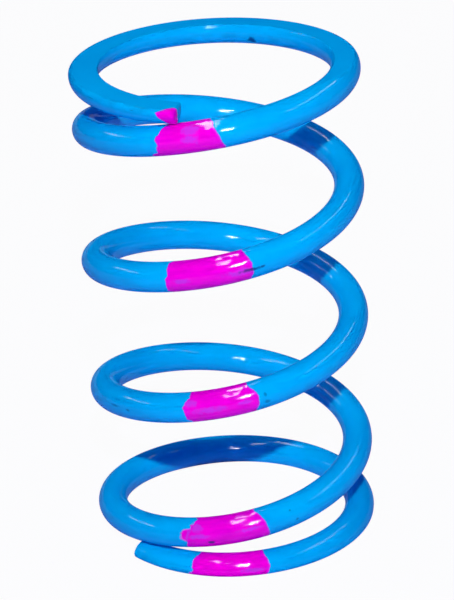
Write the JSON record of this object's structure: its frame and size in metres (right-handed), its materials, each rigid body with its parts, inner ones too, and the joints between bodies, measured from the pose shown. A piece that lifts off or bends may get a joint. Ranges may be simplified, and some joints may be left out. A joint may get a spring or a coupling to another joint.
{
  "type": "drive clutch spring",
  "caption": "Right-hand coil compression spring of round coated wire, with closed and ground ends, that pushes the sheaves of a belt-drive clutch apart.",
  "frame": {"origin": "centre of the lower ground face, on the coil's axis", "axes": "+Z along the coil's axis to the upper ground face; -Y is the side with the marking bands"},
  "size_m": [0.06, 0.06, 0.104],
  "materials": {
    "powder_coat": "glossy azure powder coat with hand-brushed magenta marking bands"
  },
  "bodies": {
    "root": {"spring": "powder_coat"}
  },
  "joints": []
}
